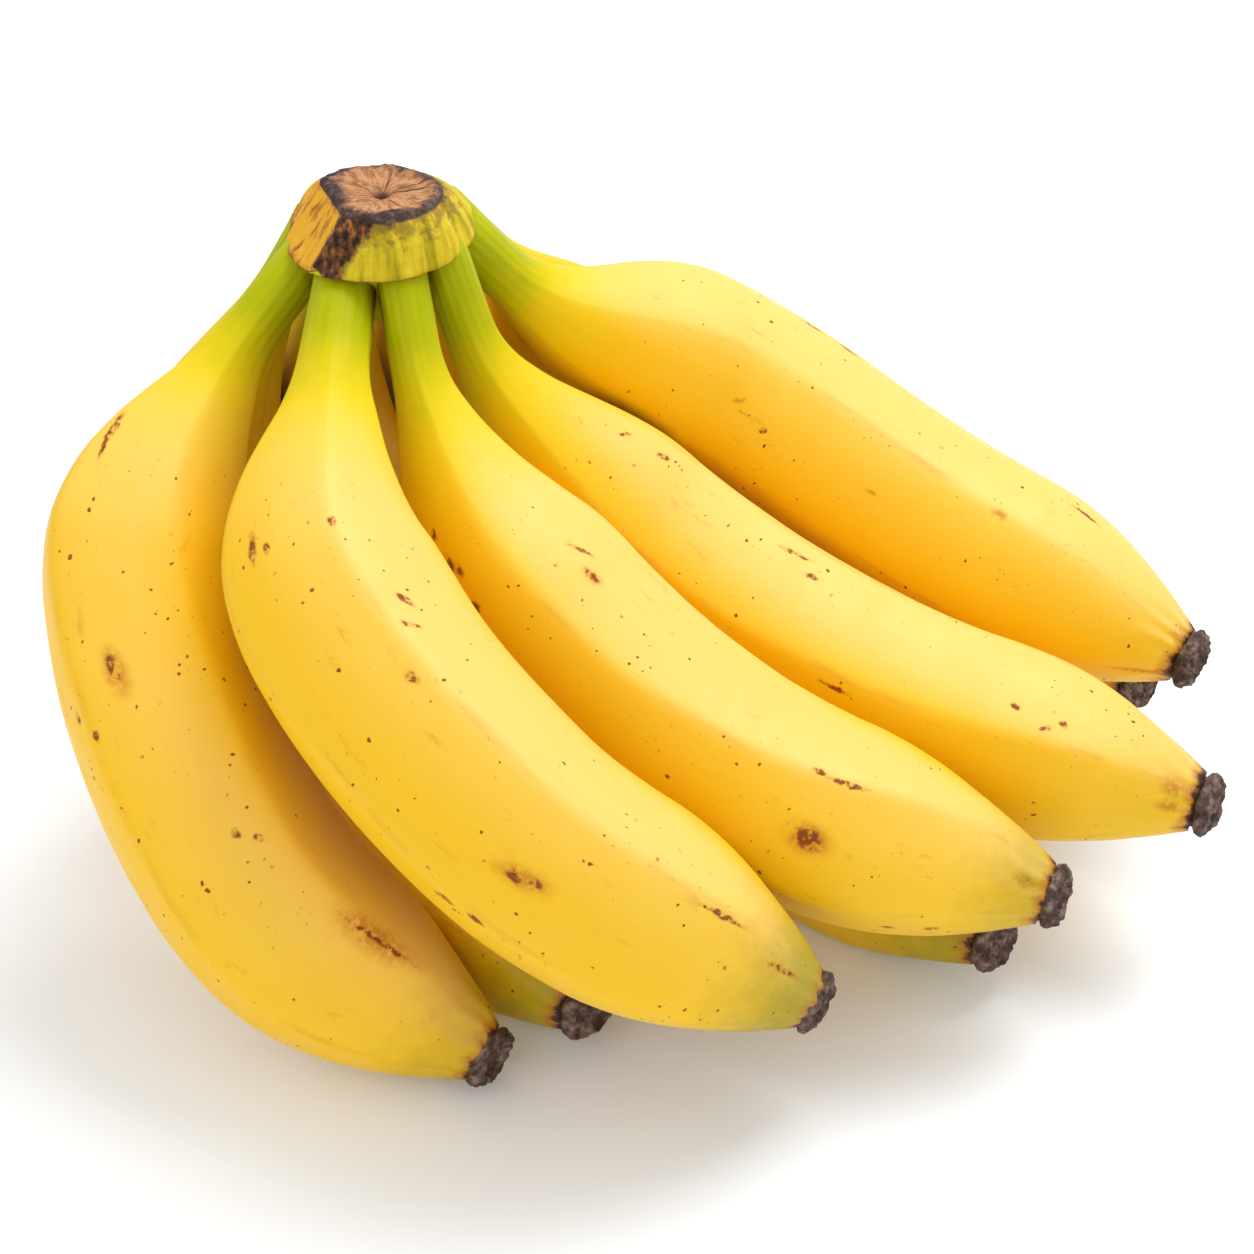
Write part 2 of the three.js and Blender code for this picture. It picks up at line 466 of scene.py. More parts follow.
@dataclass(frozen=True)
class PeelFinish:
    """Ripe peel: yellow with warmer and paler patches, lime at the stem, freckled and lightly rubbed, with
    painted highlight on faces towards the key light and painted shade on faces turned away from it and
    between the fingers.
    """

    # painted highlight: pale cream for faces towards the key light
    painted_highlight: Colour = tone(244, 202, 112)
    pale: Colour = tone(243, 196, 46)
    yellow: Colour = tone(242, 190, 26)
    # deeper yellow, used in random patches and also as painted shade
    deep: Colour = tone(242, 191, 6)
    lime: Colour = tone(172, 176, 4)
    shade_green: Colour = tone(156, 166, 4)
    lemon: Colour = tone(230, 200, 20)
    olive: Colour = tone(146, 136, 14)
    # painted shade: dark brown for the narrow gaps where fingers nearly touch
    crease_shade: Colour = tone(84, 42, 2)
    rub: Colour = tone(192, 110, 20)
    freckle: Colour = tone(178, 92, 10)
    spot: Colour = tone(110, 52, 12)
    dry: Colour = tone(62, 42, 30)

    def material(self, finger: "Finger", spine: Spine) -> bpy.types.Material:
        """Makes one finger's peel.

        Args:
            finger: The finger that wears it.
            spine: The finger's middle line.

        Returns:
            The material, which reads the piece's own attributes.
        """
        recipe = Recipe(f"peel_{finger.node}")
        place = recipe.attribute("straight")
        along = recipe.split(place)[2]
        left = recipe.math("SUBTRACT", spine.length / MM, along)
        ridge = recipe.attribute("ridge", "Fac")
        colour = self._body(recipe, place)
        colour = self._stem(recipe, place, along, colour, finger)
        colour = self._ridge_lines(recipe, place, along, ridge, colour)
        rubs, spots = self._blemishes(recipe, place, along, finger, spine)
        # painted shade: dark brown where this finger nearly touches another
        shade_where_touching = recipe.span(recipe.attribute("near", "Fac"), 0.84, 0.99, 0.0, 0.9)
        colour = recipe.mix(shade_where_touching, colour, self.crease_shade)
        colour = recipe.mix(recipe.product(rubs, 0.75), colour, self.rub)
        colour = self._flower_end(recipe, place, left, colour, finger)
        colour = recipe.mix(recipe.product(spots, 0.75), colour, self.freckle)
        colour = recipe.mix(recipe.span(spots, 0.5, 1.0, 0.0, 0.8), colour, self.spot)
        rough = recipe.span(recipe.grain(place, 7.0, 1.0), 0.3, 0.7, 0.42, 0.54)
        rough = recipe.math("ADD", rough, recipe.product(recipe.largest(rubs, spots), 0.22))
        fine = recipe.grain(recipe.stretched(place, (1.0, 1.0, 0.35)), 0.8, 1.0, 0.6)
        pits = recipe.product(spots, -0.8)
        normal = recipe.bumped(recipe.math("ADD", fine, pits), 0.00008, 0.5)
        return recipe.finish({
            "Base Color": colour,
            "Roughness": rough,
            "Normal": normal,
            "IOR": 1.45,
            "Specular IOR Level": recipe.span(along, 30.0, 64.0, 0.1, 0.34),
        })

    def _body(self, recipe: Recipe, place: object) -> Socket:
        """Yellow of the body, in soft long patches, with painted highlight on faces towards the key light
        and painted shade on faces turned away from it and near other fingers.
        """
        patches = recipe.grain(recipe.stretched(place, (1.0, 1.0, 0.4)), 22.0, 3.0, 0.55)
        colour = recipe.ramp(patches, [(0.32, self.pale), (0.52, self.yellow), (0.72, self.deep)])
        streaks = recipe.grain(recipe.stretched(place, (1.0, 1.0, 0.06)), 2.2, 2.0, 0.6)
        colour = recipe.mix(recipe.span(streaks, 0.5, 0.8, 0.0, 0.3), colour, self.deep)
        upward = recipe.attribute("upward", "Fac")
        near = recipe.attribute("near", "Fac")
        # painted shade: deeper yellow on faces turned away from the key light
        colour = recipe.mix(recipe.span(upward, 0.25, 0.7, 0.9, 0.0), colour, self.deep)
        # painted shade: deeper yellow within a finger's width of another finger
        colour = recipe.mix(recipe.span(near, 0.2, 0.75, 0.0, 0.9), colour, self.deep)
        # the painted highlight fades out in that painted shade
        clear = recipe.span(near, 0.2, 0.75, 1.0, 0.0)
        # painted highlight: pale cream on faces towards the key light, held back where painted shade lies
        # near other fingers
        painted_highlight = recipe.product(recipe.span(upward, 0.6, 1.0, 0.0, 0.75), clear)
        return recipe.mix(painted_highlight, colour, self.painted_highlight)

    def _stem(
        self, recipe: Recipe, place: object, along: object, colour: object, finger: "Finger"
    ) -> Socket:
        """Lime stem that turns yellow over the neck, with darker strands."""
        wander = recipe.math("MULTIPLY", recipe.math("SUBTRACT", recipe.grain(place, 11.0, 2.0), 0.5), 16.0)
        reach = recipe.math("ADD", along, wander)
        strands = recipe.grain(recipe.stretched(place, (1.0, 1.0, 0.12)), 3.0, 2.0, 0.6)
        green = recipe.mix(recipe.span(strands, 0.4, 0.7, 0.0, 0.55), self.lime, self.shade_green)
        soft = recipe.mix(recipe.span(reach, 8.0, finger.green_reach * 0.8), green, self.lemon)
        ripe = recipe.span(reach, finger.green_reach * 0.5, finger.green_reach * 1.2)
        return recipe.mix(ripe, soft, colour)

    def _ridge_lines(
        self, recipe: Recipe, place: object, along: object, ridge: object, colour: object
    ) -> Socket:
        """Thin lines on the ridges: green on the neck, a warmer yellow with brown touches below it."""
        line = recipe.span(ridge, 0.0, 0.11, 1.0, 0.0)
        green = recipe.product(line, recipe.span(along, 45.0, 85.0, 0.22, 0.0))
        colour = recipe.mix(green, colour, self.lime)
        broken = recipe.span(recipe.grain(recipe.stretched(place, (1.0, 1.0, 0.3)), 5.0, 2.0), 0.45, 0.7)
        warm = recipe.product(line, broken, recipe.span(along, 50.0, 90.0, 0.0, 0.32))
        return recipe.mix(warm, colour, self.rub)

    def _flower_end(
        self, recipe: Recipe, place: object, left: object, colour: object, finger: "Finger"
    ) -> Socket:
        """Olive shade before the flower end, and the dry brown edge where it joins."""
        mottle = recipe.math("SUBTRACT", recipe.grain(place, 5.0, 4.0, 0.65), 0.5)
        reach = recipe.math("ADD", left, recipe.product(mottle, 16.0))
        unripe = recipe.span(reach, 3.0, finger.olive_reach, finger.olive, 0.0)
        colour = recipe.mix(unripe, colour, self.olive)
        strands = recipe.grain(recipe.stretched(place, (1.0, 1.0, 0.3)), 2.2, 3.0, 0.6)
        edge = recipe.math("ADD", left, recipe.math("MULTIPLY", recipe.math("SUBTRACT", strands, 0.5), 6.0))
        colour = recipe.mix(recipe.span(edge, 0.4, 3.4, 0.75, 0.0), colour, self.freckle)
        return recipe.mix(recipe.span(edge, 0.0, 1.3, 1.0, 0.0), colour, self.dry)

    def _blemishes(
        self, recipe: Recipe, place: object, along: object, finger: "Finger", spine: Spine
    ) -> tuple[Socket, Socket]:
        """Masks of rubbed places and of dark spots, scattered ones and the finger's own marks.

        Args:
            recipe: The material in the making.
            place: Place on the straightened finger.
            along: Distance from the root.
            finger: The finger that wears the peel.
            spine: The finger's middle line.

        Returns:
            The mask of rubs and the mask of spots.
        """
        ragged = recipe.shaken(place, 1.6, 1.3)
        clusters = recipe.span(recipe.grain(place, 17.0, 1.0), 0.43, 0.54)
        body = recipe.span(along, 36.0, 56.0)
        freckles = recipe.product(recipe.dots(ragged, 2.3, 0.5, (0.08, 0.24)), clusters, body)
        specks = recipe.product(recipe.dots(ragged, 1.7, 0.25, (0.08, 0.2)), recipe.product(body, 0.5))
        scuffs = recipe.grain(recipe.stretched(ragged, (1.0, 1.0, 0.2)), 2.4, 3.0, 0.65)
        patches = recipe.span(recipe.grain(place, 15.0, 1.0), 0.54, 0.66)
        rubs = recipe.product(recipe.span(scuffs, 0.56, 0.74), patches, body, 0.5)
        spots = recipe.largest(freckles, specks)
        patchy = recipe.span(recipe.grain(place, 1.3, 3.0, 0.6), 0.32, 0.56, 0.3, 1.0)
        for mark in finger.marks:
            radius = float(spine.radius(np.array([mark.along * MM]))[0]) / MM
            mask = recipe.product(self._stamp(recipe, ragged, mark, radius), patchy)
            if mark.kind is MarkKind.RUB:
                rubs = recipe.largest(rubs, mask)
            else:
                spots = recipe.largest(spots, mask)
        return rubs, spots

    def _stamp(self, recipe: Recipe, place: object, mark: Mark, radius: float) -> Socket:
        """Mask of one mark, 1 in its middle and 0 outside its edge."""
        middle, *directions = mark.axes(radius)
        offset = recipe.node("ShaderNodeVectorMath", {0: place, 1: middle}, operation="SUBTRACT").outputs[0]
        reach = recipe.node("ShaderNodeCombineXYZ", {})
        for index, direction in enumerate(directions):
            dot = recipe.node("ShaderNodeVectorMath", {0: offset, 1: direction}, operation="DOT_PRODUCT")
            recipe.feed(reach.inputs[index], dot.outputs["Value"])
        length = recipe.node("ShaderNodeVectorMath", {0: reach.outputs[0]}, operation="LENGTH")
        start = 0.2 if mark.kind is MarkKind.RUB else 0.55
        return recipe.span(length.outputs["Value"], start, 1.5, 1.0, 0.0)


@dataclass
class Finger:
    """One finger: its ridges, its green and olive parts and its own marks. Millimetres and degrees."""

    node: str
    ridge_turns: tuple[float, float, float]
    ridge_height: float = 1.0
    green_reach: float = 46.0
    olive: float = 0.25
    olive_reach: float = 22.0
    stem_girth: float = 1.0
    tip_turn: float = 0.3
    marks: list[Mark] = field(default_factory=list)
    rings: int = 150
    segments: int = 110

    RIDGES = 5
    RIDGE_DEPTH = 0.55
    RIDGE_STATIONS = (0.15, 0.5, 0.95)
    # direction of the key light, which the painted highlight and painted shade follow
    LIGHT_SIDE = (0.4, 0.1, 0.9)
    # reach of the painted shade round other fingers, in millimetres
    CREASE = 24.0

    def build(self, finish: PeelFinish) -> bpy.types.Object:
        """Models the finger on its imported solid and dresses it.

        Args:
            finish: The peel.

        Returns:
            The finished piece.
        """
        spine = Spine(self.node)
        piece = placed(spun(self._profile(spine), self.segments), f"{self.node}_peel")
        straight = places(piece.data)
        straight, ridge = self._relief(straight, spine)
        points = spine.bend(straight)
        points[:, 2] = np.maximum(points[:, 2], 0)
        move_to(piece.data, points)
        piece.data.flip_normals()
        keep(piece.data, "straight", straight / MM)
        keep(piece.data, "ridge", ridge)
        # painted highlight and painted shade follow how far each vertex faces the key light
        keep(piece.data, "upward", self._upward(piece.data))
        # painted shade between the fingers follows closeness to the other fingers
        keep(piece.data, "near", self._near(points))
        piece.data.materials.append(finish.material(self, spine))
        join_bunch(piece, self.node)
        return piece

    def _profile(self, spine: Spine) -> list[tuple[float, float]]:
        """Radius and height of the straightened finger from root to flower end."""
        heights = np.linspace(0, spine.length, self.rings)
        fuller = 1 + (self.stem_girth - 1) * smoothstep(heights, 60 * MM, 20 * MM)
        outline = list(zip((fuller * spine.radius(heights)).tolist(), heights.tolist()))
        return [(0.0, 0.0), *outline, (0.0, spine.length)]

    def _upward(self, mesh: bpy.types.Mesh) -> np.ndarray:
        """How far each vertex faces the key light, 0 to 1: painted highlight where it faces it, painted
        shade where it faces away.
        """
        normals = np.empty(3 * len(mesh.vertices))
        mesh.vertex_normals.foreach_get("vector", normals)
        facing = normals.reshape(-1, 3) @ (np.array(self.LIGHT_SIDE) / np.linalg.norm(self.LIGHT_SIDE))
        return np.clip(0.5 + 0.5 * facing, 0, 1)

    def _near(self, points: np.ndarray) -> np.ndarray:
        """How close each vertex lies to another finger, 0 to 1, where painted shade turns the peel deeper
        and then brown.
        """
        trees = []
        for name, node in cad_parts.items():
            if "finger" in name and not name.startswith(self.node):
                shape = bmesh.new()
                shape.from_mesh(node.data)
                trees.append(BVHTree.FromBMesh(shape))
                shape.free()
        far = self.CREASE * MM
        gaps = [min((tree.find_nearest(Vector(point), far)[3] or far for tree in trees)) for point in points]
        return 1 - np.array(gaps) / far

    def _relief(self, straight: np.ndarray, spine: Spine) -> tuple[np.ndarray, np.ndarray]:
        """Raises the ridges, the strands of the stem and small unevenness.

        Args:
            straight: Vertex rows of the straight finger.
            spine: The finger's middle line.

        Returns:
            The new rows, and how far each vertex is from a ridge, 0 to 1.
        """
        along = straight[:, 2]
        radius = np.hypot(straight[:, 0], straight[:, 1])
        around = np.arctan2(straight[:, 1], straight[:, 0])
        share = along / spine.length
        turn = np.radians(np.interp(share, self.RIDGE_STATIONS, self.ridge_turns))
        step = math.tau / self.RIDGES
        offset = np.mod(around - turn + step / 2, step) - step / 2
        ridge = np.abs(offset) / (step / 2)
        rounded = np.sqrt(ridge**2 + 0.01) - 0.04
        polygon = math.cos(step / 2) / np.cos(step / 2 * (1 - np.clip(rounded, 0, 1)))
        fade = smoothstep(spine.length - along, 2 * MM, 26 * MM) * smoothstep(along, 6 * MM, 30 * MM)
        height = self.RIDGE_DEPTH * self.ridge_height * fade * (polygon - 0.87)
        rows = straight / MM
        swell = 0.22 * lumps(rows, 26, len(self.node) + self.ridge_turns[0])
        swell += 0.07 * lumps(rows, 8, self.ridge_turns[1])
        pucker = np.cos(13 * around + 3 * lumps(rows, 9, 5.0))
        pucker *= smoothstep(spine.length - along, 14 * MM, 1 * MM)
        strands = np.cos(17 * around + 2 * lumps(rows, 14, 8.0)) * smoothstep(along, 40 * MM, 8 * MM)
        rise = radius * height + MM * (swell + 0.22 * pucker + 0.05 * strands)
        inside = radius < 1e-6
        factor = np.where(inside, 1.0, 1 + rise / np.maximum(radius, 1e-6))
        shaped = straight.copy()
        shaped[:, 0] *= factor
        shaped[:, 1] *= factor
        return shaped, ridge


@dataclass(frozen=True)
class FlowerEndFinish:
    """Dried flower remains: near-black brown with grey and purple-brown edges."""

    dark: Colour = tone(44, 31, 27)
    brown: Colour = tone(92, 69, 58)
    grey: Colour = tone(150, 128, 116)

    def material(self) -> bpy.types.Material:
        """Makes the finish, which reads Object coordinates.

        Returns:
            The material.
        """
        recipe = Recipe("dried_flower_end")
        place = recipe.node("ShaderNodeTexCoord", {}).outputs["Object"]
        mottle = recipe.grain(place, 2.6 * MM, 5.0, 0.68)
        colour = recipe.ramp(mottle, [(0.34, self.dark), (0.5, self.brown), (0.68, self.grey)])
        crust = recipe.grain(place, 0.7 * MM, 4.0, 0.6)
        height = recipe.math("ADD", mottle, recipe.product(crust, 0.6))
        normal = recipe.bumped(height, 0.0007, 0.9)
        return recipe.finish({
            "Base Color": colour,
            "Roughness": 0.82,
            "Normal": normal,
            "Specular IOR Level": 0.3,
        })


@dataclass
class FlowerEnd:
    """The dried flower end of one finger: a ragged button with a hollow, folded face. Millimetres."""

    node: str
    seed: float
    segments: int = 72
    rows_per_ring: int = 5
    sunk: float = 1.6
    flare: float = 1.12
    turn: float = 0.3

    TURN_SIDE = (0.0, -0.45, 0.5)

    def build(self, look: bpy.types.Material) -> bpy.types.Object:
        """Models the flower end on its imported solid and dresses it.

        Args:
            look: The dried finish.

        Returns:
            The finished piece.
        """
        base, axis, side, up, profile = self._measure()
        piece = placed(spun(profile, self.segments), f"{self.node}_husk")
        straight = self._ragged(places(piece.data))
        points = base + straight[:, :1] * side + straight[:, 1:2] * up + straight[:, 2:] * axis
        move_to(piece.data, points)
        piece.data.materials.append(look)
        join_bunch(piece, self.node)
        return piece

    def _measure(self) -> tuple[np.ndarray, np.ndarray, np.ndarray, np.ndarray, list[tuple[float, float]]]:
        """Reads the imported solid's place, axes and profile.

        Returns:
            Its base, its axis, two directions across it, and the profile from pole to pole.
        """
        spine = Spine(self.node)
        base = spine.centres[0]
        axis = spine.centres[3] - base
        axis = axis / np.linalg.norm(axis) + self.turn * np.array(self.TURN_SIDE)
        axis /= np.linalg.norm(axis)
        side = np.cross(axis, (0.0, 0.0, 1.0))
        side /= np.linalg.norm(side)
        up = np.cross(axis, side)
        heights = (spine.centres - base) @ axis
        stations = np.arange(len(heights))
        fine = np.linspace(0, stations[-1], self.rows_per_ring * stations[-1] + 1)
        radii = np.interp(fine, stations, spine.radii)
        outline = list(zip(radii.tolist(), np.interp(fine, stations, heights).tolist()))
        outline[0] = (outline[0][0], -self.sunk * MM)
        return base, axis, side, up, [(0.0, outline[0][1]), *outline, (0.0, outline[-1][1])]

    def _ragged(self, straight: np.ndarray) -> np.ndarray:
        """Folds and cracks the straight button.

        Args:
            straight: Vertex rows of the button.

        Returns:
            The moved rows.
        """
        rows = straight / MM
        radius = np.hypot(rows[:, 0], rows[:, 1])
        around = np.arctan2(rows[:, 1], rows[:, 0])
        outer = smoothstep(radius, 2.0, 5.0)
        folds = np.abs(np.sin(2.5 * around + 1.4 * lumps(rows, 3.0, self.seed))) - 0.5
        crumple = lumps(rows, 1.6, self.seed + 4)
        fine = lumps(rows, 0.7, self.seed + 9)
        swell = outer * (0.5 * folds + 0.35 * crumple) + 0.15 * fine
        front = smoothstep(rows[:, 2], 0.8, 3.0)
        moved = rows.copy()
        wide = 1 + (self.flare - 1) * smoothstep(rows[:, 2], 0.0, 2.2)
        moved[:, :2] *= (wide + swell / np.maximum(radius, 1.0))[:, None]
        swirl = np.sin(2.4 * radius - 2 * around + self.seed) * smoothstep(radius, 5.2, 4.2)
        moved[:, 2] += front * (0.45 * crumple + 0.3 * fine + 0.45 * swirl - 0.3)
        return moved * MM


@dataclass(frozen=True)
class CrownFinish:
    """Cut crown: tan fibrous top with a near-black rim, olive band, orange and black knife facets."""

    tan: Colour = tone(196, 142, 98)
    fibre: Colour = tone(140, 90, 56)
    pit: Colour = tone(72, 42, 26)
    rim: Colour = tone(62, 44, 42)
    ash: Colour = tone(104, 84, 76)
    olive: Colour = tone(198, 174, 24)
    moss: Colour = tone(148, 140, 16)
    straw: Colour = tone(226, 202, 48)
    neck: Colour = tone(220, 200, 24)
    lime: Colour = tone(178, 180, 8)
    lip: Colour = tone(124, 84, 46)
    orange: Colour = tone(226, 166, 36)
    amber: Colour = tone(188, 124, 34)
    bark: Colour = tone(108, 66, 40)
    black: Colour = tone(36, 24, 20)

    def material(self) -> bpy.types.Material:
        """Makes the finish, which reads the crown's own attributes.

        Returns:
            The material.
        """
        recipe = Recipe("cut_crown")
        place = recipe.attribute("place")
        turn = recipe.attribute("turn")
        cuts = recipe.split(recipe.attribute("cuts"))
        edges = recipe.split(recipe.attribute("edges"))
        coarse = recipe.math("SUBTRACT", recipe.grain(place, 3.4, 4.0, 0.62), 0.5)
        ragged = recipe.math("MULTIPLY", coarse, 5.0)
        colour = self._band(recipe, place, turn, cuts[0])
        below = recipe.mix(recipe.span(edges[1], 1.5, 7.0), self.neck, self.lime)
        colour = recipe.mix(recipe.span(edges[1], 0.0, 0.5), colour, below)
        on_facet = recipe.span(recipe.math("ADD", cuts[1], recipe.product(ragged, 0.3)), 0.7, 1.3, 1.0, 0.0)
        colour = recipe.mix(on_facet, colour, self._facet(recipe, place, turn, edges[1]))
        midway = recipe.math("ABSOLUTE", recipe.math("SUBTRACT", on_facet, 0.5))
        outline = recipe.span(midway, 0.2, 0.5, 0.85, 0.0)
        colour = recipe.mix(outline, colour, self.bark)
        across = recipe.span(recipe.math("ADD", cuts[1], ragged), 3.2, 5.0, 1.0, 0.0)
        worn = recipe.math("ADD", cuts[2], recipe.product(ragged, 0.45))
        on_stripe = recipe.product(recipe.span(worn, 0.5, 1.3, 1.0, 0.0), across)
        colour = recipe.mix(on_stripe, colour, self._stripe(recipe, place))
        lip = recipe.span(recipe.math("ABSOLUTE", edges[1]), 0.2, 0.7, 0.85, 0.0)
        colour = recipe.mix(lip, colour, self.lip)
        near_top = recipe.span(recipe.math("ADD", cuts[0], ragged), 0.4, 1.8, 0.95, 0.0)
        colour = recipe.mix(near_top, colour, self.rim)
        on_top = recipe.span(cuts[0], 0.9, 1.5, 1.0, 0.0)
        colour = recipe.mix(on_top, colour, self._top(recipe, place, turn, edges, ragged))
        fine = recipe.grain(recipe.stretched(turn, (1.0, 1.0, 0.35)), 0.9, 3.0, 0.65)
        normal = recipe.bumped(fine, 0.0005, 0.8)
        return recipe.finish({
            "Base Color": colour,
            "Roughness": 0.74,
            "Normal": normal,
            "Specular IOR Level": 0.18,
        })

    def _band(self, recipe: Recipe, place: object, turn: object, depth: object) -> Socket:
        """Olive side with upright streaks, browner towards the top."""
        streaks = recipe.grain(recipe.stretched(turn, (1.0, 1.0, 0.1)), 2.4, 3.0, 0.6)
        colour = recipe.ramp(streaks, [(0.32, self.moss), (0.48, self.olive), (0.66, self.straw)])
        dirt = recipe.math("SUBTRACT", recipe.product(recipe.grain(place, 2.2, 4.0, 0.65), 16.0), depth)
        return recipe.mix(recipe.span(dirt, 2.5, 6.5, 0.0, 0.6), colour, self.bark)

    def _facet(self, recipe: Recipe, place: object, turn: object, lip: object) -> Socket:
        """Orange knife facet, browner in streaks and along its torn lower edge."""
        streaks = recipe.grain(recipe.stretched(turn, (1.0, 1.0, 0.25)), 2.2, 4.0, 0.62)
        stops = [(0.3, self.orange), (0.49, self.orange), (0.57, self.amber), (0.68, self.bark)]
        colour = recipe.ramp(streaks, stops)
        torn = recipe.math("ADD", lip, recipe.product(recipe.grain(place, 2.6, 4.0, 0.65), 5.0))
        return recipe.mix(recipe.span(torn, 0.4, 2.6, 0.0, 0.8), colour, self.bark)

    def _stripe(self, recipe: Recipe, place: object) -> Socket:
        """Black, dried knife facet with brown fibres."""
        fibres = recipe.grain(recipe.stretched(place, (1.0, 1.0, 0.4)), 1.3, 4.0, 0.65)
        return recipe.ramp(fibres, [(0.4, self.black), (0.56, self.bark), (0.72, self.amber)])

    def _top(
        self, recipe: Recipe, place: object, turn: object, edges: object, ragged: object
    ) -> Socket:
        """Tan cut with fibres that run out from a dark middle to a near-black rim."""
        fibres = recipe.grain(recipe.stretched(turn, (1.0, 1.0, 0.35)), 1.4, 4.0, 0.65)
        colour = recipe.ramp(fibres, [(0.36, self.fibre), (0.52, self.tan)])
        blotches = recipe.span(recipe.grain(place, 3.0, 3.0, 0.6), 0.5, 0.66, 0.0, 0.8)
        colour = recipe.mix(blotches, colour, self.fibre)
        cracks = recipe.grain(recipe.stretched(turn, (1.0, 1.0, 0.12)), 2.6, 2.0)
        colour = recipe.mix(recipe.span(cracks, 0.60, 0.68, 0.0, 0.8), colour, self.pit)
        colour = recipe.mix(recipe.span(edges[2], 0.8, 2.2, 0.9, 0.0), colour, self.pit)
        burnt = recipe.span(recipe.math("ADD", edges[0], recipe.product(ragged, 1.7)), 0.2, 3.2, 1.0, 0.0)
        dark = recipe.mix(recipe.span(recipe.grain(place, 1.4, 4.0, 0.65), 0.45, 0.7), self.rim, self.ash)
        return recipe.mix(burnt, colour, dark)


